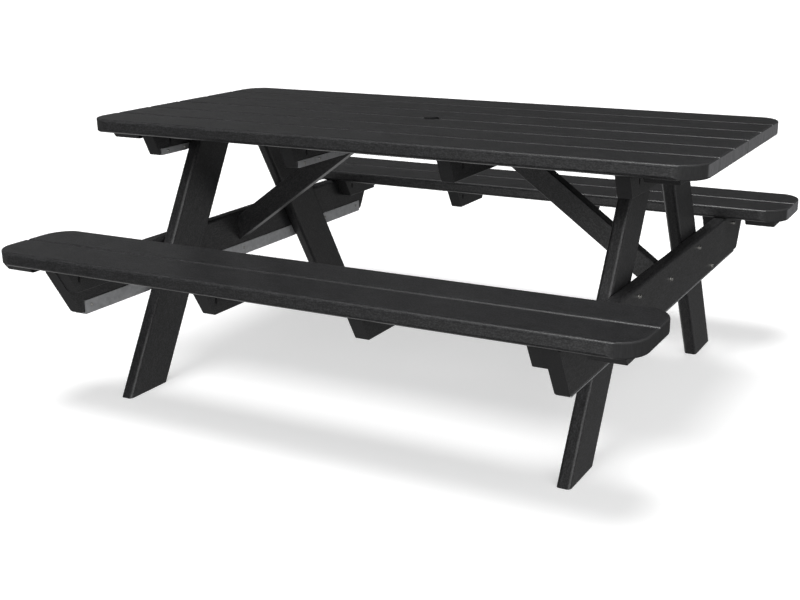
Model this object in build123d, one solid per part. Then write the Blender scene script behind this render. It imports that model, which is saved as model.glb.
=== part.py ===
from build123d import *
import math
import os

# A-frame picnic table in plastic lumber, screwed together and stiffened with steel.
# X runs along the table, Y across it, Z up. The origin is on the ground
# under the middle of the tabletop. Every length is in millimetres.

# Lumber sections, sawn to length. All of them have rounded long edges.
BOARD_WIDTH = 139.7
BOARD_THICKNESS = 38.1
BOARD_EDGE_RADIUS = 9.5
CLEAT_HEIGHT = 63.5
CLEAT_THICKNESS = 38.1
CLEAT_EDGE_RADIUS = 3.2
BATTEN_WIDTH = 88.9
BATTEN_THICKNESS = 19.05
BATTEN_END_RADIUS = 6.0
SAWN_END_EASE = 4.5

# Tabletop
TABLE_LENGTH = 1828.8
TABLE_HEIGHT = 762.0
TABLE_UNDERSIDE = TABLE_HEIGHT - BOARD_THICKNESS
TABLE_SEAM = 0.8
TABLE_CENTRE_GAP = 3.0
CORNER_RADIUS = 76.2
UMBRELLA_RADIUS = 25.4

# Benches
SEAT_HEIGHT = 462.0
SEAT_UNDERSIDE = SEAT_HEIGHT - BOARD_THICKNESS
SEAT_INNER_EDGE = 553.0
SEAT_SEAM = 1.0

# End frames: legs inside, crossbeam and top cleat outside of the joint plane
JOINT_PLANE = 695.0
LEG_FACE = JOINT_PLANE - BOARD_THICKNESS
BEAM_FACE = JOINT_PLANE + BOARD_THICKNESS
LEG_TILT = 30.0
LEG_FOOT_CENTRE = 543.45
CROSSBEAM_HALF_LENGTH = 820.0
CROSSBEAM_END_ANGLE = 30.0
CROSSBEAM_TOE_RADIUS = 15.0

# Cleats and braces
INNER_CLEAT_FACE = 221.0
TOP_CLEAT_HALF_LENGTH = 394.0
TOP_CLEAT_END_ANGLE = 25.0
SEAT_INNER_CLEAT_CENTRE = 223.75
SEAT_CLEAT_START = 578.0
SEAT_CLEAT_END = 818.0
SEAT_CLEAT_END_ANGLE = 30.0
CLEAT_TOE_RADIUS = 4.0
TOP_BATTEN_CENTRE = 806.0
SEAT_BATTEN_CENTRE = 837.0
TOP_BATTEN_HALF_LENGTH = 386.0
SEAT_BATTEN_START = 569.0
SEAT_BATTEN_END = 818.0
BATTEN_END_ANGLE = 40.0
BRACE_SLOPE = 35.73
BRACE_FOOT_HEIGHT = 333.0

# Steel angles along the crossbeams and flat steel bars along the top cleats
STEEL_THICKNESS = 3.2
ANGLE_LEG = 38.1
ANGLE_HALF_LENGTH = 727.0
ANGLE_ROOT = 4.0
BAR_WIDTH = 19.05
BAR_HALF_LENGTH = 360.0
BAR_EDGE_RADIUS = 0.6
NOTCH_CLEARANCE = 1.5
FACE_CLEARANCE = 0.3

# Lag screws with a hexagon head on a round flange
LAG_RADIUS = 3.4
LAG_HOLE_RADIUS = 3.6
LAG_LENGTH = 65.0
LAG_POINT = 6.0
HEX_FLATS = 9.5
HEX_HEIGHT = 4.6
HEX_CHAMFER = 0.7
FLANGE_RADIUS = 6.8
FLANGE_THICKNESS = 1.4

# Wood screws, with pan heads on the steel and in the pockets, flat heads elsewhere
SCREW_RADIUS = 2.0
SCREW_HOLE_RADIUS = 2.15
PAN_RADIUS = 4.4
PAN_HEIGHT = 2.4
FLAT_RADIUS = 4.4
FLAT_DEPTH = 2.8
DRIVE_WIDTH = 2.8
DRIVE_DEPTH = 1.3
STEEL_SCREW_LENGTH = 25.0
BATTEN_SCREW_LENGTH = 42.0
LEG_TOP_SCREW_LENGTH = 65.0
POCKET_SCREW_LENGTH = 48.0
POCKET_RADIUS = 4.8
POCKET_DEPTH = 12.0
POCKET_MOUTH = 14.0
POCKET_TILT = 30.0
POCKET_DROP = 27.0
DRILL_OVERRUN = 1.0

# Fastener places, as distances from the centreline and heights
LEG_LAGS = [(276.0, 396.0), (433.0, 304.5)]
SEAT_LAGS = [(675.0, 386.0)]
BRACE_FOOT_LAG_HEIGHT = 371.6
BRACE_TOP_LAG_HEIGHT = 690.0
LEG_TOP_SCREWS = [(112.0, 705.0), (176.0, 683.0)]
ANGLE_SCREWS = [0.0, 265.0, 490.0, 703.0]
ANGLE_SCREW_HEIGHT = 303.5
ANGLE_UNDER_SCREWS = [150.0, 635.0]
ANGLE_UNDER_SCREW_X = 714.0
BAR_SCREWS = [40.0, 256.0, 331.5]
TOP_POCKETS = [40.0, 316.0]
SEAT_POCKETS = [625.0, 775.0]
TOP_BATTEN_SCREWS = [-35.0, 5.0]
SEAT_BATTEN_SCREWS = [-20.0, 20.0]

SIDES = {"left": -1, "right": 1}
ROWS = {"front": -1, "rear": 1}


def bar_along_x(length, width, height, radius):
    """A bar centred on the origin, with its four long edges rounded."""
    section = Plane.YZ * RectangleRounded(width, height, radius)
    return extrude(section, amount=length / 2, both=True)


def bar_along_y(length, width, height, radius):
    """The same bar turned to lie across the table."""
    return Rot(0, 0, 90) * bar_along_x(length, width, height, radius)


def box_between(low, high):
    """A box given by two opposite corners."""
    size = [b - a for a, b in zip(low, high)]
    centre = [(a + b) / 2 for a, b in zip(low, high)]
    return Pos(*centre) * Box(*size)


def slanted_outline(start, end, bottom, top, start_angle, end_angle, thickness, toe_radius):
    """A trapezoid in YZ, wider at the top, as a prism centred on X with rounded lower corners."""
    height = top - bottom
    start_shift = height * math.tan(math.radians(start_angle))
    end_shift = height * math.tan(math.radians(end_angle))
    points = [(start, top), (start + start_shift, bottom), (end - end_shift, bottom), (end, top)]
    outline = make_face(Polyline(*points, close=True))
    toes = outline.vertices().sort_by(Axis.Y)[:2]
    outline = fillet(toes, toe_radius)
    return extrude(Plane.YZ * outline, amount=thickness, both=True)


def board(length, rounded_front, rounded_rear):
    """One sawn board, flat, centred on the origin. Rounded sides get round plan corners."""
    front_spare = 0 if rounded_front else BOARD_WIDTH
    rear_spare = 0 if rounded_rear else BOARD_WIDTH
    low = (-length / 2, -BOARD_WIDTH / 2 - front_spare, -BOARD_THICKNESS / 2)
    high = (length / 2, BOARD_WIDTH / 2 + rear_spare, BOARD_THICKNESS / 2)
    plan = box_between(low, high)
    uprights = plan.edges().filter_by(Axis.Z)
    front_corners = [edge for edge in uprights if rounded_front and edge.center().Y < 0]
    rear_corners = [edge for edge in uprights if rounded_rear and edge.center().Y > 0]
    if front_corners or rear_corners:
        plan = fillet(front_corners + rear_corners, CORNER_RADIUS)
    flats = plan.faces().filter_by(Axis.Z)
    plan = fillet([edge for face in flats for edge in face.edges()], SAWN_END_EASE)
    return bar_along_x(length, BOARD_WIDTH, BOARD_THICKNESS, BOARD_EDGE_RADIUS) & plan


def table_board_centre(index):
    """Distance of a tabletop board's middle from the centreline; index 0 is beside the gap."""
    return TABLE_CENTRE_GAP / 2 + BOARD_WIDTH / 2 + index * (BOARD_WIDTH + TABLE_SEAM)


def seat_board_centre(index):
    """Distance of a bench board's middle from the centreline; index 0 is the inner one."""
    return SEAT_INNER_EDGE + BOARD_WIDTH / 2 + index * (BOARD_WIDTH + SEAT_SEAM)


def top_boards():
    """Six boards, numbered from the front. The middle two share the umbrella hole."""
    height = TABLE_HEIGHT - BOARD_THICKNESS / 2
    umbrella = Pos(0, 0, height) * Cylinder(UMBRELLA_RADIUS, 2 * BOARD_THICKNESS)
    boards = {}
    for row, sign in ROWS.items():
        for index in range(3):
            outer = index == 2
            piece = board(TABLE_LENGTH, outer and sign < 0, outer and sign > 0)
            piece = Pos(0, sign * table_board_centre(index), height) * piece
            if index == 0:
                piece = piece - umbrella
            number = 3 - index if sign < 0 else 4 + index
            boards[f"top_board_{number}"] = piece
    return boards


def seat_boards():
    """Two boards for each bench, with all four bench corners rounded."""
    height = SEAT_HEIGHT - BOARD_THICKNESS / 2
    boards = {}
    for row, sign in ROWS.items():
        for index, place in enumerate(["inner", "outer"]):
            faces_front = (sign < 0) == (place == "outer")
            piece = board(TABLE_LENGTH, faces_front, not faces_front)
            boards[f"seat_{row}_{place}_board"] = Pos(0, sign * seat_board_centre(index), height) * piece
    return boards


def leg_line(height):
    """Distance of a leg's middle line from the centreline at this height."""
    return LEG_FOOT_CENTRE - height * math.tan(math.radians(LEG_TILT))


def leg_blank(side, row, blank):
    """Stand a bar that lies along X up at a leg's slant and place."""
    middle = TABLE_UNDERSIDE / 2
    place = Pos(side * (LEG_FACE + JOINT_PLANE) / 2, row * leg_line(middle), middle)
    return place * Rot(row * LEG_TILT, 0, 0) * Rot(0, -90, 0) * blank


def legs():
    """Four slanted legs, sawn level at the ground and under the tabletop."""
    blank = bar_along_x(1.5 * TABLE_UNDERSIDE, BOARD_WIDTH, BOARD_THICKNESS, BOARD_EDGE_RADIUS)
    reach = TABLE_LENGTH / 2
    slab = box_between((-reach, -reach, 0), (reach, reach, TABLE_UNDERSIDE))
    return {
        f"leg_{row}_{side}": leg_blank(side_sign, row_sign, blank) & slab
        for side, side_sign in SIDES.items()
        for row, row_sign in ROWS.items()
    }


def crossbeams():
    """A board on edge under each end of the benches, with slanted ends."""
    bottom = SEAT_UNDERSIDE - BOARD_WIDTH
    length = 2 * CROSSBEAM_HALF_LENGTH
    bar = bar_along_y(length, BOARD_THICKNESS, BOARD_WIDTH, BOARD_EDGE_RADIUS)
    outline = slanted_outline(
        -CROSSBEAM_HALF_LENGTH, CROSSBEAM_HALF_LENGTH, bottom, SEAT_UNDERSIDE,
        CROSSBEAM_END_ANGLE, CROSSBEAM_END_ANGLE, BOARD_THICKNESS, CROSSBEAM_TOE_RADIUS,
    )
    beam = (Pos(0, 0, (bottom + SEAT_UNDERSIDE) / 2) * bar) & outline
    offset = (JOINT_PLANE + BEAM_FACE) / 2
    return {f"crossbeam_{side}": Pos(sign * offset, 0, 0) * beam for side, sign in SIDES.items()}


def cleat(start, end, top, width, height, angle, edge_radius, toe_radius):
    """A short piece across the boards from start to end, with both ends slanted."""
    bar = bar_along_y(end - start, width, height, edge_radius)
    outline = slanted_outline(start, end, top - height, top, angle, angle, width, toe_radius)
    return (Pos(0, (start + end) / 2, top - height / 2) * bar) & outline


def top_cleats():
    """Four cleats under the tabletop: one on each end frame and two nearer the middle."""
    piece = cleat(
        -TOP_CLEAT_HALF_LENGTH, TOP_CLEAT_HALF_LENGTH, TABLE_UNDERSIDE,
        CLEAT_THICKNESS, CLEAT_HEIGHT, TOP_CLEAT_END_ANGLE, CLEAT_EDGE_RADIUS, CLEAT_TOE_RADIUS,
    )
    places = {"frame": JOINT_PLANE + CLEAT_THICKNESS / 2, "inner": INNER_CLEAT_FACE + CLEAT_THICKNESS / 2}
    return {
        f"top_{kind}_cleat_{side}": Pos(sign * offset, 0, 0) * piece
        for kind, offset in places.items()
        for side, sign in SIDES.items()
    }


def seat_cleats():
    """Eight cleats under the benches: four beside the crossbeams and four nearer the middle."""
    piece = cleat(
        SEAT_CLEAT_START, SEAT_CLEAT_END, SEAT_UNDERSIDE,
        CLEAT_THICKNESS, CLEAT_HEIGHT, SEAT_CLEAT_END_ANGLE, CLEAT_EDGE_RADIUS, CLEAT_TOE_RADIUS,
    )
    both_rows = {"front": mirror(piece, about=Plane.XZ), "rear": piece}
    places = {"beam": JOINT_PLANE - CLEAT_THICKNESS / 2, "inner": SEAT_INNER_CLEAT_CENTRE}
    return {
        f"seat_{kind}_cleat_{row}_{side}": Pos(sign * offset, 0, 0) * both_rows[row]
        for kind, offset in places.items()
        for row in ROWS
        for side, sign in SIDES.items()
    }


def end_battens():
    """Thin battens that tie the board ends together under the tabletop and the benches."""
    top = cleat(
        -TOP_BATTEN_HALF_LENGTH, TOP_BATTEN_HALF_LENGTH, TABLE_UNDERSIDE,
        BATTEN_WIDTH, BATTEN_THICKNESS, BATTEN_END_ANGLE, CLEAT_EDGE_RADIUS, BATTEN_END_RADIUS,
    )
    seat = cleat(
        SEAT_BATTEN_START, SEAT_BATTEN_END, SEAT_UNDERSIDE,
        BATTEN_WIDTH, BATTEN_THICKNESS, BATTEN_END_ANGLE, CLEAT_EDGE_RADIUS, BATTEN_END_RADIUS,
    )
    both_rows = {"front": mirror(seat, about=Plane.XZ), "rear": seat}
    battens = {}
    for side, sign in SIDES.items():
        battens[f"top_end_batten_{side}"] = Pos(sign * TOP_BATTEN_CENTRE, 0, 0) * top
        for row in ROWS:
            battens[f"seat_end_batten_{row}_{side}"] = Pos(sign * SEAT_BATTEN_CENTRE, 0, 0) * both_rows[row]
    return battens


def braces():
    """A slanted strut from each crossbeam up to the inner cleat under the tabletop."""
    low_x = INNER_CLEAT_FACE + CLEAT_THICKNESS
    middle_x = (low_x + JOINT_PLANE) / 2
    slope = math.radians(BRACE_SLOPE)
    rise = (JOINT_PLANE - middle_x) * math.tan(slope)
    middle_z = BRACE_FOOT_HEIGHT + rise + CLEAT_HEIGHT / 2 / math.cos(slope)
    bar = bar_along_x(TABLE_HEIGHT, CLEAT_THICKNESS, CLEAT_HEIGHT, CLEAT_EDGE_RADIUS)
    room = box_between((low_x, -CLEAT_THICKNESS, 0), (JOINT_PLANE, CLEAT_THICKNESS, TABLE_UNDERSIDE))
    strut = (Pos(middle_x, 0, middle_z) * Rot(0, BRACE_SLOPE, 0) * bar) & room
    return {"brace_left": mirror(strut, about=Plane.YZ), "brace_right": strut}


def steel_angle():
    """An L section with its heel towards the middle and its flanges up and outward."""
    heel_x = JOINT_PLANE - STEEL_THICKNESS
    heel_z = SEAT_UNDERSIDE - BOARD_WIDTH - STEEL_THICKNESS
    points = [
        (heel_x, heel_z), (heel_x + ANGLE_LEG, heel_z),
        (heel_x + ANGLE_LEG, heel_z + STEEL_THICKNESS),
        (heel_x + STEEL_THICKNESS, heel_z + STEEL_THICKNESS),
        (heel_x + STEEL_THICKNESS, heel_z + ANGLE_LEG), (heel_x, heel_z + ANGLE_LEG),
    ]
    section = make_face(Polyline(*points, close=True))
    inside = Vector(heel_x + STEEL_THICKNESS, heel_z + STEEL_THICKNESS)
    root = section.vertices().sort_by_distance(inside)[0]
    section = fillet(root, ANGLE_ROOT)
    return extrude(Plane.XZ * section, amount=ANGLE_HALF_LENGTH, both=True)


def steel_bar(face):
    """A flat bar against a top cleat's inner face, level with its lower edge."""
    bar = bar_along_y(2 * BAR_HALF_LENGTH, STEEL_THICKNESS, BAR_WIDTH, BAR_EDGE_RADIUS)
    return Pos(face - STEEL_THICKNESS / 2, 0, bar_middle()) * bar


def bar_middle():
    """Height of the flat bars' middle line."""
    return TABLE_UNDERSIDE - CLEAT_HEIGHT + BAR_WIDTH / 2


def steel_strips():
    """The angles and bars, cut away where the legs pass."""
    width = BOARD_WIDTH + 2 * NOTCH_CLEARANCE
    notch = Box(1.5 * TABLE_UNDERSIDE, width, BOARD_THICKNESS + 2 * FACE_CLEARANCE)
    notches = [leg_blank(1, row, notch) for row in ROWS.values()]
    right = {
        "crossbeam_angle": steel_angle() - notches,
        "top_frame_cleat_bar": steel_bar(JOINT_PLANE) - notches,
        "top_inner_cleat_bar": steel_bar(INNER_CLEAT_FACE),
    }
    strips = {}
    for name, piece in right.items():
        strips[f"{name}_right"] = piece
        strips[f"{name}_left"] = mirror(piece, about=Plane.YZ)
    return strips


def span_cylinder(radius, start, end):
    """A cylinder along Z from start to end."""
    return Pos(0, 0, (start + end) / 2) * Cylinder(radius, end - start)


def hexagon(start, height):
    """A hexagonal prism along Z with its corners turned down at both ends."""
    flats = RegularPolygon(HEX_FLATS / 2, 6, major_radius=False)
    blank = span_cylinder(HEX_FLATS / math.sqrt(3), start, start + height)
    rims = blank.edges().filter_by(GeomType.CIRCLE)
    return (Pos(0, 0, start) * extrude(flats, amount=height)) & chamfer(rims, HEX_CHAMFER)


# Each fastener is drawn with its bearing face at the origin, pointing along +Z
# into the work, and is then placed with a Location.


def lag_screw():
    flange = span_cylinder(FLANGE_RADIUS, -FLANGE_THICKNESS, 0)
    rim = flange.edges().filter_by(GeomType.CIRCLE).sort_by(Axis.Z)[0]
    flange = chamfer(rim, FLANGE_THICKNESS / 2)
    head = hexagon(-FLANGE_THICKNESS - HEX_HEIGHT, HEX_HEIGHT)
    shank = span_cylinder(LAG_RADIUS, -FLANGE_THICKNESS - HEX_HEIGHT / 2, LAG_LENGTH - LAG_POINT)
    point = Pos(0, 0, LAG_LENGTH - LAG_POINT / 2) * Cone(LAG_RADIUS, LAG_RADIUS / 4, LAG_POINT)
    return head + flange + shank + point


def drive_recess(depth):
    """The square recess in a screw's head, this far below the bearing face."""
    return Pos(0, 0, depth + DRIVE_DEPTH / 2) * Box(DRIVE_WIDTH, DRIVE_WIDTH, DRIVE_DEPTH)


def pan_screw(length):
    head = span_cylinder(PAN_RADIUS, -PAN_HEIGHT, 0)
    rim = head.edges().filter_by(GeomType.CIRCLE).sort_by(Axis.Z)[0]
    head = fillet(rim, PAN_HEIGHT / 2)
    return head - drive_recess(-PAN_HEIGHT) + span_cylinder(SCREW_RADIUS, -PAN_HEIGHT / 4, length)


def flat_screw(length):
    head = Pos(0, 0, FLAT_DEPTH / 2) * Cone(FLAT_RADIUS, SCREW_RADIUS, FLAT_DEPTH)
    return head + span_cylinder(SCREW_RADIUS, FLAT_DEPTH / 2, length) - drive_recess(0)


def mirrored_places(distances):
    """Both signs of each distance from the centreline, with a zero kept once."""
    return sorted({sign * distance for distance in distances for sign in ROWS.values()})


def end_places(spots):
    """Places on both end frames' outer faces, pointing to the middle of the table."""
    return [
        Location((side * BEAM_FACE, y, height), (0, -90 * side, 0))
        for distance, height in spots
        for side in SIDES.values()
        for y in mirrored_places([distance])
    ]


def lag_places():
    """Through the crossbeams into legs, bench cleats and braces, and into the braces' tops."""
    brace_tops = [
        Location((side * INNER_CLEAT_FACE, 0, BRACE_TOP_LAG_HEIGHT), (0, 90 * side, 0))
        for side in SIDES.values()
    ]
    return end_places(LEG_LAGS + SEAT_LAGS + [(0.0, BRACE_FOOT_LAG_HEIGHT)]) + brace_tops


def steel_screw_places():
    """Through the upright steel faces, and from below into the crossbeams."""
    rows = [
        (JOINT_PLANE, ANGLE_SCREW_HEIGHT, ANGLE_SCREWS),
        (JOINT_PLANE, bar_middle(), BAR_SCREWS),
        (INNER_CLEAT_FACE, bar_middle(), BAR_SCREWS),
    ]
    sideways = [
        Location((side * (face - STEEL_THICKNESS), y, height), (0, 90 * side, 0))
        for face, height, distances in rows
        for side in SIDES.values()
        for y in mirrored_places(distances)
    ]
    bottom = SEAT_UNDERSIDE - BOARD_WIDTH - STEEL_THICKNESS
    upward = [
        Location((side * ANGLE_UNDER_SCREW_X, y, bottom))
        for side in SIDES.values()
        for y in mirrored_places(ANGLE_UNDER_SCREWS)
    ]
    return sideways + upward


def pocket_places():
    """Slanted pockets in the cleats' faces, rising into the boards above them."""
    top_z = TABLE_UNDERSIDE - POCKET_DROP
    seat_z = SEAT_UNDERSIDE - POCKET_DROP
    places = []
    for side in SIDES.values():
        for centre in [JOINT_PLANE + CLEAT_THICKNESS / 2, INNER_CLEAT_FACE + CLEAT_THICKNESS / 2]:
            face = side * centre + CLEAT_THICKNESS / 2
            for y in mirrored_places(TOP_POCKETS):
                places.append(Location((face, y, top_z), (0, -POCKET_TILT, 0)))
        for centre in [JOINT_PLANE - CLEAT_THICKNESS / 2, SEAT_INNER_CLEAT_CENTRE]:
            face = side * (centre - CLEAT_THICKNESS / 2)
            for y in mirrored_places(SEAT_POCKETS):
                places.append(Location((face, y, seat_z), (0, POCKET_TILT * side, 0)))
    return places


def batten_screw_places():
    """Two screws from each batten up into every board that it ties, set off from its middle."""
    tied = [
        (3, table_board_centre, TOP_BATTEN_SCREWS, TOP_BATTEN_CENTRE, TABLE_UNDERSIDE),
        (2, seat_board_centre, SEAT_BATTEN_SCREWS, SEAT_BATTEN_CENTRE, SEAT_UNDERSIDE),
    ]
    places = []
    for side in SIDES.values():
        for count, board_centre, offsets, x, underside in tied:
            for index in range(count):
                middle = board_centre(index)
                for y in mirrored_places([middle + offset for offset in offsets]):
                    places.append(Location((side * x, y, underside - BATTEN_THICKNESS)))
    return places


def fasteners():
    """All the fasteners, each kind as one group of separate solids."""
    pocket_screw = Pos(0, 0, POCKET_DEPTH) * pan_screw(POCKET_SCREW_LENGTH)
    kinds = {
        "frame_lag_screws": (lag_places(), lag_screw()),
        "leg_top_screws": (end_places(LEG_TOP_SCREWS), flat_screw(LEG_TOP_SCREW_LENGTH)),
        "steel_strip_screws": (steel_screw_places(), pan_screw(STEEL_SCREW_LENGTH)),
        "pocket_screws": (pocket_places(), pocket_screw),
        "batten_screws": (batten_screw_places(), flat_screw(BATTEN_SCREW_LENGTH)),
    }
    return {name: Compound([place * piece for place in places]) for name, (places, piece) in kinds.items()}


def drill(radius, length):
    """A hole for a shank of this length, open at the bearing face."""
    return span_cylinder(radius, -DRILL_OVERRUN, length + DRILL_OVERRUN)


def countersunk_drill(length):
    """The same for a flat-headed screw."""
    clearance = SCREW_HOLE_RADIUS - SCREW_RADIUS
    mouth = span_cylinder(FLAT_RADIUS + clearance, -DRILL_OVERRUN, 0)
    sink = Pos(0, 0, FLAT_DEPTH / 2) * Cone(FLAT_RADIUS + clearance, SCREW_HOLE_RADIUS, FLAT_DEPTH)
    return mouth + sink + span_cylinder(SCREW_HOLE_RADIUS, FLAT_DEPTH / 2, length + DRILL_OVERRUN)


def drills():
    """The holes for all the fasteners."""
    pocket = span_cylinder(POCKET_RADIUS, -POCKET_MOUTH, POCKET_DEPTH)
    pocket = pocket + Pos(0, 0, POCKET_DEPTH) * drill(SCREW_HOLE_RADIUS, POCKET_SCREW_LENGTH)
    kinds = [
        (lag_places(), drill(LAG_HOLE_RADIUS, LAG_LENGTH)),
        (end_places(LEG_TOP_SCREWS), countersunk_drill(LEG_TOP_SCREW_LENGTH)),
        (steel_screw_places(), drill(SCREW_HOLE_RADIUS, STEEL_SCREW_LENGTH)),
        (pocket_places(), pocket),
        (batten_screw_places(), countersunk_drill(BATTEN_SCREW_LENGTH)),
    ]
    return [place * hole for places, hole in kinds for place in places]


def boxes_meet(first, second):
    """Whether two bounding boxes overlap."""
    low = all(a < b for a, b in zip(first.min, second.max))
    high = all(a > b for a, b in zip(first.max, second.min))
    return low and high


def drilled(piece, holes):
    """The piece less every hole that reaches it."""
    extent = piece.bounding_box()
    near = [hole for hole, hole_box in holes if boxes_meet(hole_box, extent)]
    return piece - near if near else piece


def main():
    pieces = {}
    for group in (top_boards, seat_boards, legs, crossbeams, top_cleats, seat_cleats, end_battens, braces):
        pieces.update(group())
    pieces.update(steel_strips())
    holes = [(hole, hole.bounding_box()) for hole in drills()]
    nodes = {name: drilled(piece, holes) for name, piece in pieces.items()}
    nodes.update(fasteners())
    os.makedirs("parts", exist_ok=True)
    for name, shape in nodes.items():
        export_step(shape, f"parts/{name}.step")


main()
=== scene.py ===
"""A-frame picnic table in black plastic lumber, dressed and lit on a pale studio floor."""

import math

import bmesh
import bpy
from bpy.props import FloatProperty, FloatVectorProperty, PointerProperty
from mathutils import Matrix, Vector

bl_info = {
    "name": "Picnic Table",
    "version": (1, 0, 0),
    "blender": (4, 5, 0),
    "location": "View3D > Sidebar > Picnic Table",
    "description": "Dresses the picnic table's lumber, steel and fasteners and sets up its studio",
    "category": "Object",
}

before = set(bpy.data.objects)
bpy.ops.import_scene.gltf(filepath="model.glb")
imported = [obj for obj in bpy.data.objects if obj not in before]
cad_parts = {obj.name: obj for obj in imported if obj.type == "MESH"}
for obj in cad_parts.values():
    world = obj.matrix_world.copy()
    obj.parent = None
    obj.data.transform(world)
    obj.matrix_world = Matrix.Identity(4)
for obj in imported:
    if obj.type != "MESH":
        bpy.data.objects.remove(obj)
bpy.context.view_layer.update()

MM = 0.001
UMBRELLA_HOLE_REACH = 40 * MM
CURTAIN_REACH = 0.49
LEG_TILT = math.radians(30.0)
BRACE_SLOPE = math.radians(35.73)

# The direction that each stick of lumber was drawn in, which its grain follows.
GRAIN = {
    "along": Vector((1, 0, 0)),
    "across": Vector((0, 1, 0)),
    "leg_front": Vector((0, math.sin(LEG_TILT), math.cos(LEG_TILT))),
    "leg_rear": Vector((0, -math.sin(LEG_TILT), math.cos(LEG_TILT))),
    "brace_right": Vector((-math.cos(BRACE_SLOPE), 0, math.sin(BRACE_SLOPE))),
    "brace_left": Vector((math.cos(BRACE_SLOPE), 0, math.sin(BRACE_SLOPE))),
}


def srgb(code):
    """A hex sRGB colour as linear red, green, blue and full alpha."""
    parts = [int(code[start:start + 2], 16) / 255 for start in (1, 3, 5)]
    return tuple(p / 12.92 if p <= 0.04045 else ((p + 0.055) / 1.055) ** 2.4 for p in parts) + (1.0,)


def colour_property(name, description, code):
    return FloatVectorProperty(
        name=name, description=description, default=srgb(code), size=4, min=0, max=1, subtype="COLOR"
    )


class PicnicLumberSettings(bpy.types.PropertyGroup):
    """Black polyethylene lumber, drawn through a die with an embossed wood grain."""

    face_colour: colour_property("Face colour", "Embossed faces of the boards", "#1e1e1f")
    worn_colour: colour_property("Worn colour", "High spots of the grain, rubbed a little paler", "#3f3f40")
    cut_colour: colour_property("Cut colour", "Freshly sawn ends, where the plastic is torn", "#7b7b7d")
    # Painted shade: this dark colour stands in for shade on sawn and routed faces.
    painted_shade_cut_colour: colour_property("Painted shade cut colour", "Sawn faces darkened as painted shade", "#2a2a2b")
    grain_width: FloatProperty(
        name="Grain width", description="Spacing of the embossed lines", default=2.4 * MM, unit="LENGTH"
    )
    grain_length: FloatProperty(
        name="Grain length", description="Usual length of an embossed line", default=22 * MM, unit="LENGTH"
    )
    emboss_depth: FloatProperty(
        name="Emboss depth", description="Depth of the embossed lines", default=0.2 * MM, unit="LENGTH"
    )
    roughness: FloatProperty(name="Roughness", description="Roughness of a clean face", default=0.32)


class PicnicSteelSettings(bpy.types.PropertyGroup):
    """Hot-dip galvanised steel strips, stainless screws and black-coated screws."""

    zinc_colour: colour_property("Zinc colour", "Dull galvanised face", "#d2d3d5")
    zinc_dark: colour_property("Zinc shade", "Darker spangles", "#b9babc")
    spangle: FloatProperty(
        name="Spangle size", description="Width of a zinc spangle", default=9 * MM, unit="LENGTH"
    )
    stainless_colour: colour_property("Stainless colour", "Lag screws and the screws in the steel", "#c9c8c4")
    coating_colour: colour_property("Coating colour", "Black coating of the other screws", "#1b1b1c")


class PicnicStudioSettings(bpy.types.PropertyGroup):
    """A bright floor under a soft overhead key and a side lamp, with low fills all round the table."""

    floor_colour: colour_property("Floor colour", "Pale studio floor", "#dedede")
    floor_glow: FloatProperty(
        name="Floor glow", description="Light that comes up through the floor", default=0.53
    )
    floor_size: FloatProperty(
        name="Floor size", description="Side of the floor", default=160.0, unit="LENGTH"
    )
    key_strength: FloatProperty(name="Key strength", description="Overhead key light", default=2.3)
    key_softness: FloatProperty(
        name="Key softness", description="Angle that the key fills", default=math.radians(27), subtype="ANGLE"
    )
    side_softness: FloatProperty(
        name="Side softness", description="Angle that the side lamp fills", default=math.radians(55),
        subtype="ANGLE",
    )
    room_light: FloatProperty(name="Room light", description="Even light from everywhere", default=0.03)
    ceiling_light: FloatProperty(
        name="Ceiling light", description="Light from the studio ceiling", default=0.75
    )
    front_fill: FloatProperty(name="Front fill", description="Low card in front of the table", default=1.35)
    back_fill: FloatProperty(name="Back fill", description="Low card behind the right end", default=0.5)
    rear_fill: FloatProperty(name="Rear fill", description="Low card behind the table", default=0.6)
    left_fill: FloatProperty(name="Left fill", description="Low card off the left end", default=0.6)
    side_strength: FloatProperty(name="Side strength", description="Lamp high on the right", default=1.2)


def add_node(tree, kind, inputs=None, **settings):
    """Add a node with its settings, and fill or link its inputs by name or number."""
    node = tree.nodes.new(kind)
    for key, value in settings.items():
        setattr(node, key, value)
    for key, value in (inputs or {}).items():
        if isinstance(value, bpy.types.NodeSocket):
            tree.links.new(value, node.inputs[key])
        else:
            node.inputs[key].default_value = value
    return node


def new_material(name):
    """An empty node material and its tree."""
    material = bpy.data.materials.new(name)
    material.use_nodes = True
    material.node_tree.nodes.clear()
    return material, material.node_tree


def finish_material(tree, shader):
    add_node(tree, "ShaderNodeOutputMaterial", {"Surface": shader.outputs["BSDF"]})


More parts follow.
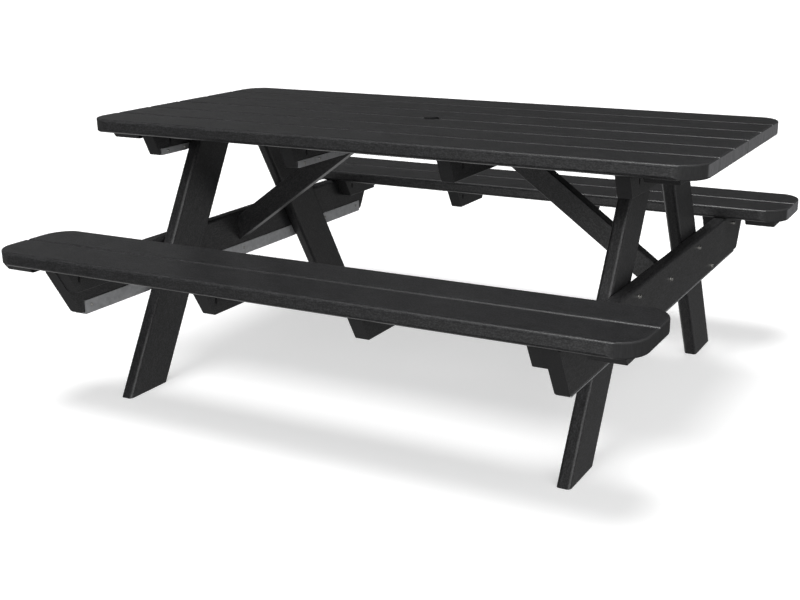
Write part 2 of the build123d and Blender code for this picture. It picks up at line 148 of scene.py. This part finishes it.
def embossed_lumber(direction, pale_sawn_ends=False):
    """Extruded black polyethylene: satin, with fine embossed lines along its length, torn paler where cut, with
    painted shade on routed corners and, unless the ends are asked to stay pale, on the sawn ends.
    """
    name = "embossed_lumber_" + direction + ("_pale_sawn_ends" if pale_sawn_ends else "")
    if name in bpy.data.materials:
        return bpy.data.materials[name]
    lumber = bpy.context.scene.picnic_lumber
    # Unless the ends stay pale, the flat sawn ends take the painted shade colour as well.
    cut_colour = lumber.cut_colour if pale_sawn_ends else lumber.painted_shade_cut_colour
    grain = GRAIN[direction]
    turn = Vector((1, 0, 0)).rotation_difference(grain).to_euler()
    material, tree = new_material(name)
    place = add_node(tree, "ShaderNodeTexCoord")
    piece = add_node(tree, "ShaderNodeObjectInfo")

    # Long lines along the board, as the embossing roller leaves them.
    lines_size = (lumber.grain_length, lumber.grain_width, lumber.grain_width)
    lines_place = add_node(
        tree, "ShaderNodeMapping", {"Vector": place.outputs["Object"], "Rotation": turn, "Scale": lines_size},
        vector_type="TEXTURE",
    )
    lines = add_node(
        tree, "ShaderNodeTexNoise",
        {"Vector": lines_place.outputs[0], "Scale": 1.0, "Detail": 3.0, "Roughness": 0.6},
    )
    # The pebbled skin between the lines. The real one is 1.5 mm across; it is drawn coarser so that it
    # still shows as a fine speckle from a few metres.
    pebble_place = add_node(
        tree, "ShaderNodeMapping",
        {"Vector": place.outputs["Object"], "Rotation": turn, "Scale": (4.5 * MM, 3.0 * MM, 3.0 * MM)},
        vector_type="TEXTURE",
    )
    pebbles = add_node(
        tree, "ShaderNodeTexNoise", {"Vector": pebble_place.outputs[0], "Scale": 1.0, "Detail": 1.0}
    )
    # Slow clouding of the surface, a hand's width across.
    clouds = add_node(
        tree, "ShaderNodeTexNoise", {"Vector": place.outputs["Object"], "Scale": 1 / (90 * MM), "Detail": 2.0}
    )

    # A face whose normal leans along the grain has been sawn, routed or drilled.
    lean = add_node(
        tree, "ShaderNodeVectorMath", {0: place.outputs["Normal"], 1: grain}, operation="DOT_PRODUCT"
    )
    lean_size = add_node(tree, "ShaderNodeMath", {0: lean.outputs["Value"]}, operation="ABSOLUTE")
    sawn = add_node(
        tree, "ShaderNodeMapRange", {"Value": lean_size.outputs[0], "From Min": 0.08, "From Max": 0.35}
    )
    # The umbrella hole's wall keeps the dark colour of the faces, as painted shade in the hole.
    level = add_node(
        tree, "ShaderNodeVectorMath",
        {0: place.outputs["Object"], 1: (1, 1, 0)},
        operation="MULTIPLY",
    )
    reach = add_node(tree, "ShaderNodeVectorMath", {0: level.outputs[0]}, operation="LENGTH")
    away = add_node(
        tree, "ShaderNodeMath",
        {0: reach.outputs["Value"], 1: UMBRELLA_HOLE_REACH},
        operation="GREATER_THAN",
    )
    cut = add_node(tree, "ShaderNodeMath", {0: sawn.outputs[0], 1: away.outputs[0]}, operation="MULTIPLY")
    # Saw marks run across the cut, 1.6 mm apart.
    saw = add_node(
        tree, "ShaderNodeTexNoise",
        {
            "Vector": add_node(
                tree, "ShaderNodeMapping",
                {"Vector": place.outputs["Object"], "Scale": (1.6 * MM, 1.6 * MM, 30 * MM)},
                vector_type="TEXTURE",
            ).outputs[0],
            "Scale": 1.0, "Detail": 3.0, "Roughness": 0.7,
        },
    )

    relief = add_node(
        tree, "ShaderNodeMath", {0: lines.outputs[0], 1: 0.5, 2: 0.0}, operation="MULTIPLY_ADD"
    )
    relief = add_node(
        tree, "ShaderNodeMath",
        {0: pebbles.outputs[0], 1: 0.7, 2: relief.outputs[0]},
        operation="MULTIPLY_ADD"
    )
    height = add_node(
        tree, "ShaderNodeMix", {"Factor": cut.outputs[0], 2: relief.outputs[0], 3: saw.outputs[0]}
    )
    bump = add_node(
        tree, "ShaderNodeBump",
        {"Strength": 0.9, "Distance": lumber.emboss_depth, "Height": height.outputs[0]},
    )

    high = add_node(
        tree, "ShaderNodeMapRange", {"Value": relief.outputs[0], "From Min": 0.52, "From Max": 0.78}
    )
    face = add_node(
        tree, "ShaderNodeMix", {"Factor": high.outputs[0], 6: lumber.face_colour, 7: lumber.worn_colour},
        data_type="RGBA",
    )
    tone = add_node(
        tree, "ShaderNodeMath",
        {0: piece.outputs["Random"], 1: 0.16, 2: clouds.outputs[0]},
        operation="MULTIPLY_ADD"
    )
    tone_value = add_node(
        tree, "ShaderNodeMapRange",
        {"Value": tone.outputs[0], "From Min": 0.25, "From Max": 0.95, "To Min": 0.85, "To Max": 1.2},
    )
    toned = add_node(
        tree, "ShaderNodeHueSaturation", {"Value": tone_value.outputs[0], "Color": face.outputs[2]}
    )
    torn = add_node(
        tree, "ShaderNodeMapRange",
        {"Value": saw.outputs[0], "From Min": 0.35, "From Max": 0.65, "To Min": 0.6, "To Max": 1.3},
    )
    # Routed corners and slanted cuts take the dark colour as painted shade, and only the flat sawn ends can
    # stay pale.
    square = add_node(
        tree, "ShaderNodeMapRange", {"Value": lean_size.outputs[0], "From Min": 0.95, "From Max": 0.985}
    )
    cut_tone = add_node(
        tree, "ShaderNodeMix", {"Factor": square.outputs[0], 6: lumber.painted_shade_cut_colour, 7: cut_colour},
        data_type="RGBA",
    )
    cut_face = add_node(
        tree, "ShaderNodeHueSaturation", {"Value": torn.outputs[0], "Color": cut_tone.outputs[2]}
    )
    colour = add_node(
        tree, "ShaderNodeMix", {"Factor": cut.outputs[0], 6: toned.outputs[0], 7: cut_face.outputs[0]},
        data_type="RGBA",
    )
    rough_face = add_node(
        tree, "ShaderNodeMapRange",
        {
            "Value": relief.outputs[0], "From Min": 0.3, "From Max": 0.9,
            "To Min": lumber.roughness + 0.08, "To Max": lumber.roughness - 0.06,
        },
    )
    rough = add_node(tree, "ShaderNodeMix", {"Factor": cut.outputs[0], 2: rough_face.outputs[0], 3: 0.72})
    shader = add_node(
        tree, "ShaderNodeBsdfPrincipled",
        {
            "Base Color": colour.outputs[2], "Roughness": rough.outputs[0], "Normal": bump.outputs[0],
            "IOR": 1.52, "Specular IOR Level": 0.5,
        },
    )
    finish_material(tree, shader)
    return material


def galvanised_steel():
    """Hot-dip galvanised mild steel: dull zinc with faint spangles."""
    steel = bpy.context.scene.picnic_steel
    material, tree = new_material("galvanised_steel")
    place = add_node(tree, "ShaderNodeTexCoord")
    spangles = add_node(
        tree, "ShaderNodeTexVoronoi", {"Vector": place.outputs["Object"], "Scale": 1 / steel.spangle}
    )
    bloom = add_node(
        tree, "ShaderNodeTexNoise", {"Vector": place.outputs["Object"], "Scale": 1 / (25 * MM), "Detail": 4.0}
    )
    grey = add_node(tree, "ShaderNodeSeparateColor", {"Color": spangles.outputs["Color"]})
    shade = add_node(
        tree, "ShaderNodeMath",
        {0: grey.outputs[0], 1: 0.4, 2: bloom.outputs[0]},
        operation="MULTIPLY_ADD",
    )
    colour = add_node(
        tree, "ShaderNodeMix",
        {"Factor": shade.outputs[0], 6: steel.zinc_dark, 7: steel.zinc_colour},
        data_type="RGBA"
    )
    rough = add_node(
        tree, "ShaderNodeMapRange",
        {"Value": shade.outputs[0], "From Min": 0.2, "From Max": 1.0, "To Min": 0.55, "To Max": 0.38},
    )
    bump = add_node(
        tree, "ShaderNodeBump", {"Strength": 0.25, "Distance": 0.1 * MM, "Height": bloom.outputs[0]}
    )
    shader = add_node(
        tree, "ShaderNodeBsdfPrincipled",
        {
            "Base Color": colour.outputs[2], "Metallic": 0.7,
            "Roughness": rough.outputs[0], "Normal": bump.outputs[0],
        },
    )
    finish_material(tree, shader)
    return material


def stainless_steel():
    """Cold-headed stainless fasteners: bright, with a fine turned haze."""
    steel = bpy.context.scene.picnic_steel
    material, tree = new_material("stainless_steel")
    place = add_node(tree, "ShaderNodeTexCoord")
    haze = add_node(
        tree, "ShaderNodeTexNoise",
        {"Vector": place.outputs["Object"], "Scale": 1 / (1.2 * MM), "Detail": 2.0},
    )
    rough = add_node(
        tree, "ShaderNodeMapRange",
        {"Value": haze.outputs[0], "From Min": 0.3, "From Max": 0.7, "To Min": 0.22, "To Max": 0.36},
    )
    bump = add_node(
        tree, "ShaderNodeBump",
        {"Strength": 0.15, "Distance": 0.05 * MM, "Height": haze.outputs[0]},
    )
    shader = add_node(
        tree, "ShaderNodeBsdfPrincipled",
        {
            "Base Color": steel.stainless_colour, "Metallic": 1.0,
            "Roughness": rough.outputs[0], "Normal": bump.outputs[0],
        },
    )
    finish_material(tree, shader)
    return material


def black_coated_steel():
    """Deck screws under a matt black coating, rubbed thin here and there."""
    steel = bpy.context.scene.picnic_steel
    material, tree = new_material("black_coated_steel")
    place = add_node(tree, "ShaderNodeTexCoord")
    wear = add_node(
        tree, "ShaderNodeTexNoise", {"Vector": place.outputs["Object"], "Scale": 1 / (2 * MM), "Detail": 3.0}
    )
    thin = add_node(tree, "ShaderNodeMapRange", {"Value": wear.outputs[0], "From Min": 0.6, "From Max": 0.75})
    colour = add_node(
        tree, "ShaderNodeMix", {"Factor": thin.outputs[0], 6: steel.coating_colour, 7: steel.zinc_dark},
        data_type="RGBA",
    )
    rough = add_node(
        tree, "ShaderNodeMapRange",
        {"Value": wear.outputs[0], "From Min": 0.3, "From Max": 0.8, "To Min": 0.6, "To Max": 0.4},
    )
    bump = add_node(
        tree, "ShaderNodeBump",
        {"Strength": 0.2, "Distance": 0.05 * MM, "Height": wear.outputs[0]},
    )
    shader = add_node(
        tree, "ShaderNodeBsdfPrincipled",
        {"Base Color": colour.outputs[2], "Roughness": rough.outputs[0], "Normal": bump.outputs[0], "IOR": 1.5},
    )
    finish_material(tree, shader)
    return material


def glowing_board(name, pattern_scale, relief, glow):
    """A matt white surface with a faint relief, which also gives off some light."""
    material, tree = new_material(name)
    place = add_node(tree, "ShaderNodeTexCoord")
    stipple = add_node(
        tree, "ShaderNodeTexNoise",
        {"Vector": place.outputs["Object"], "Scale": 1 / pattern_scale},
    )
    bump = add_node(
        tree, "ShaderNodeBump",
        {"Strength": 0.05, "Distance": relief, "Height": stipple.outputs[0]},
    )
    shader = add_node(
        tree, "ShaderNodeBsdfPrincipled",
        {
            "Base Color": bpy.context.scene.picnic_studio.floor_colour, "Roughness": 0.95,
            "Specular IOR Level": 0.0, "Normal": bump.outputs[0],
            "Emission Color": (1, 1, 1, 1), "Emission Strength": glow,
        },
    )
    finish_material(tree, shader)
    return material


def studio_floor():
    """Matt painted board, almost white, with a barely seen roller stipple."""
    return glowing_board("studio_floor", 4 * MM, 0.2 * MM, bpy.context.scene.picnic_studio.floor_glow)


def studio_curtain():
    """White muslin, lit evenly from behind, with slow folds half a metre wide."""
    return glowing_board("studio_curtain", 500 * MM, 1.0 * MM, 1.0)


def dress(node, material):
    """Give a CAD node one material."""
    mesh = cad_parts[node].data
    mesh.materials.clear()
    mesh.materials.append(material)


def nodes_with(*words):
    """The CAD nodes whose names hold all these words."""
    return [name for name in sorted(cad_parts) if all(word in name for word in words)]


def steel_strips():
    """The angles and the flat bars."""
    return nodes_with("angle_") + nodes_with("cleat_bar")


class PICNIC_OT_top_boards(bpy.types.Operator):
    """Dress the tabletop boards"""

    bl_idname = "picnic.top_boards"
    bl_label = "Tabletop boards"

    def execute(self, context):
        for node in nodes_with("top_board"):
            dress(node, embossed_lumber("along", pale_sawn_ends=True))
        return {"FINISHED"}


class PICNIC_OT_seat_boards(bpy.types.Operator):
    """Dress the bench boards"""

    bl_idname = "picnic.seat_boards"
    bl_label = "Bench boards"

    def execute(self, context):
        for node in nodes_with("seat", "board"):
            # The front bench's sawn ends get painted shade; the rear bench's stay pale.
            dress(node, embossed_lumber("along", pale_sawn_ends="rear" in node))
        return {"FINISHED"}


class PICNIC_OT_cross_pieces(bpy.types.Operator):
    """Dress the crossbeams, cleats and battens, which lie across the table"""

    bl_idname = "picnic.cross_pieces"
    bl_label = "Crossbeams, cleats and battens"

    def execute(self, context):
        for node in nodes_with("crossbeam") + nodes_with("cleat") + nodes_with("end_batten"):
            if node not in steel_strips():
                dress(node, embossed_lumber("across"))
        return {"FINISHED"}


class PICNIC_OT_legs(bpy.types.Operator):
    """Dress the slanted legs"""

    bl_idname = "picnic.legs"
    bl_label = "Legs"

    def execute(self, context):
        for direction in ("leg_front", "leg_rear"):
            for node in nodes_with(direction):
                dress(node, embossed_lumber(direction))
        return {"FINISHED"}


class PICNIC_OT_braces(bpy.types.Operator):
    """Dress the two braces"""

    bl_idname = "picnic.braces"
    bl_label = "Braces"

    def execute(self, context):
        for node in ("brace_left", "brace_right"):
            dress(node, embossed_lumber(node))
        return {"FINISHED"}


class PICNIC_OT_steel_strips(bpy.types.Operator):
    """Dress the steel angles and the flat steel bars"""

    bl_idname = "picnic.steel_strips"
    bl_label = "Steel angles and bars"

    def execute(self, context):
        material = galvanised_steel()
        for node in steel_strips():
            dress(node, material)
        return {"FINISHED"}


class PICNIC_OT_fasteners(bpy.types.Operator):
    """Dress the lag screws and wood screws"""

    bl_idname = "picnic.fasteners"
    bl_label = "Fasteners"

    def execute(self, context):
        bright = stainless_steel()
        for node in ("frame_lag_screws", "steel_strip_screws"):
            dress(node, bright)
        coated = black_coated_steel()
        for node in ("leg_top_screws", "pocket_screws", "batten_screws"):
            dress(node, coated)
        return {"FINISHED"}


def set_stage(piece):
    """Put up a piece of the studio that is seen, but neither lights nor shades the table."""
    piece.visible_diffuse = False
    piece.visible_glossy = False
    piece.visible_shadow = False
    bpy.context.scene.collection.objects.link(piece)


def add_floor(studio):
    """A square floor at the height of the feet."""
    mesh = bpy.data.meshes.new("floor")
    grown = bmesh.new()
    bmesh.ops.create_grid(grown, x_segments=1, y_segments=1, size=studio.floor_size / 2)
    grown.to_mesh(mesh)
    grown.free()
    mesh.materials.append(studio_floor())
    floor = bpy.data.objects.new("floor", mesh)
    # The fills light the table from below the horizon, so the floor stands out of their way.
    set_stage(floor)


def add_curtain(studio):
    """A white curtain around the floor's edge, which is only seen and lights nothing."""
    mesh = bpy.data.meshes.new("curtain")
    grown = bmesh.new()
    reach = CURTAIN_REACH * studio.floor_size
    bmesh.ops.create_cone(grown, cap_ends=False, segments=64, radius1=reach, radius2=reach, depth=reach)
    bmesh.ops.reverse_faces(grown, faces=grown.faces)
    grown.to_mesh(mesh)
    grown.free()
    mesh.materials.append(studio_curtain())
    curtain = bpy.data.objects.new("curtain", mesh)
    set_stage(curtain)


def fill_card(tree, place, direction, tightness, strength):
    """A soft patch of light in the surroundings, brightest in one direction."""
    aim = add_node(
        tree, "ShaderNodeVectorMath", {0: place.outputs["Generated"], 1: Vector(direction).normalized()},
        operation="DOT_PRODUCT",
    )
    facing = add_node(tree, "ShaderNodeMath", {0: aim.outputs["Value"], 1: 0.0}, operation="MAXIMUM")
    patch = add_node(tree, "ShaderNodeMath", {0: facing.outputs[0], 1: tightness}, operation="POWER")
    return add_node(tree, "ShaderNodeMath", {0: patch.outputs[0], 1: strength}, operation="MULTIPLY")


def add_surroundings(studio):
    """A dim studio with one soft patch of light overhead and four low ones around the table."""
    world = bpy.data.worlds.new("studio")
    world.use_nodes = True
    tree = world.node_tree
    tree.nodes.clear()
    place = add_node(tree, "ShaderNodeTexCoord")
    cards = (
        fill_card(tree, place, (0.1, -0.5, 0.86), 5.0, studio.ceiling_light),
        fill_card(tree, place, (0.0, -0.95, -0.3), 10.0, studio.front_fill),
        fill_card(tree, place, (0.85, 0.45, -0.2), 8.0, studio.back_fill),
        fill_card(tree, place, (-0.3, 0.55, -0.78), 6.0, studio.rear_fill),
        fill_card(tree, place, (-0.85, 0.3, -0.45), 6.0, studio.left_fill),
    )
    strength = studio.room_light
    for card in cards:
        total = add_node(tree, "ShaderNodeMath", {0: card.outputs[0], 1: strength}, operation="ADD")
        strength = total.outputs[0]
    light = add_node(tree, "ShaderNodeBackground", {"Color": (1, 1, 1, 1), "Strength": strength})
    add_node(tree, "ShaderNodeOutputWorld", {"Surface": light.outputs[0]})
    bpy.context.scene.world = world


def add_lamp(name, direction, strength, softness):
    """A distant soft lamp that shines from this direction."""
    lamp = bpy.data.lights.new(name, "SUN")
    lamp.energy = strength
    lamp.angle = softness
    holder = bpy.data.objects.new(name, lamp)
    holder.rotation_euler = Vector(direction).to_track_quat("Z", "Y").to_euler()
    bpy.context.scene.collection.objects.link(holder)


def add_camera():
    """A standing viewer's camera, off the right end of the front bench."""
    lens = bpy.data.cameras.new("camera")
    lens.lens = 53.42
    lens.shift_x = -0.0596
    lens.shift_y = 0.0588
    lens.clip_end = 500
    camera = bpy.data.objects.new("camera", lens)
    turn = Matrix.Rotation(math.radians(27.0), 4, "Z") @ Matrix.Rotation(math.radians(90 - 19.05), 4, "X")
    camera.matrix_world = (
        Matrix.Translation((1.6045, -3.0501, 1.2542)) @ turn @ Matrix.Rotation(math.radians(-0.34), 4, "Z")
    )
    bpy.context.scene.collection.objects.link(camera)
    bpy.context.scene.camera = camera


class PICNIC_OT_studio(bpy.types.Operator):
    """Set up the floor, the lights and the camera"""

    bl_idname = "picnic.studio"
    bl_label = "Studio"

    def execute(self, context):
        studio = context.scene.picnic_studio
        add_floor(studio)
        add_curtain(studio)
        add_surroundings(studio)
        add_lamp("key", (-0.05, -0.12, 1.0), studio.key_strength, studio.key_softness)
        add_lamp("side", (0.73, -0.52, 0.44), studio.side_strength, studio.side_softness)
        add_camera()
        context.scene.view_settings.view_transform = "Standard"
        return {"FINISHED"}


OPERATORS = (
    PICNIC_OT_top_boards,
    PICNIC_OT_seat_boards,
    PICNIC_OT_cross_pieces,
    PICNIC_OT_legs,
    PICNIC_OT_braces,
    PICNIC_OT_steel_strips,
    PICNIC_OT_fasteners,
    PICNIC_OT_studio,
)


class PICNIC_PT_panel(bpy.types.Panel):
    """The table's settings and operators"""

    bl_idname = "PICNIC_PT_panel"
    bl_label = "Picnic Table"
    bl_space_type = "VIEW_3D"
    bl_region_type = "UI"
    bl_category = "Picnic Table"

    def draw(self, context):
        for group in (context.scene.picnic_lumber, context.scene.picnic_steel, context.scene.picnic_studio):
            for name in group.__annotations__:
                self.layout.prop(group, name)
        for operator in OPERATORS:
            self.layout.operator(operator.bl_idname)


CLASSES = (PicnicLumberSettings, PicnicSteelSettings, PicnicStudioSettings, *OPERATORS, PICNIC_PT_panel)


def register():
    for cls in CLASSES:
        bpy.utils.register_class(cls)
    bpy.types.Scene.picnic_lumber = PointerProperty(type=PicnicLumberSettings)
    bpy.types.Scene.picnic_steel = PointerProperty(type=PicnicSteelSettings)
    bpy.types.Scene.picnic_studio = PointerProperty(type=PicnicStudioSettings)


def unregister():
    del bpy.types.Scene.picnic_studio
    del bpy.types.Scene.picnic_steel
    del bpy.types.Scene.picnic_lumber
    for cls in reversed(CLASSES):
        bpy.utils.unregister_class(cls)


def main():
    register()
    bpy.ops.picnic.top_boards()
    bpy.ops.picnic.seat_boards()
    bpy.ops.picnic.cross_pieces()
    bpy.ops.picnic.legs()
    bpy.ops.picnic.braces()
    bpy.ops.picnic.steel_strips()
    bpy.ops.picnic.fasteners()
    bpy.ops.picnic.studio()


if __name__ == "__main__":
    main()
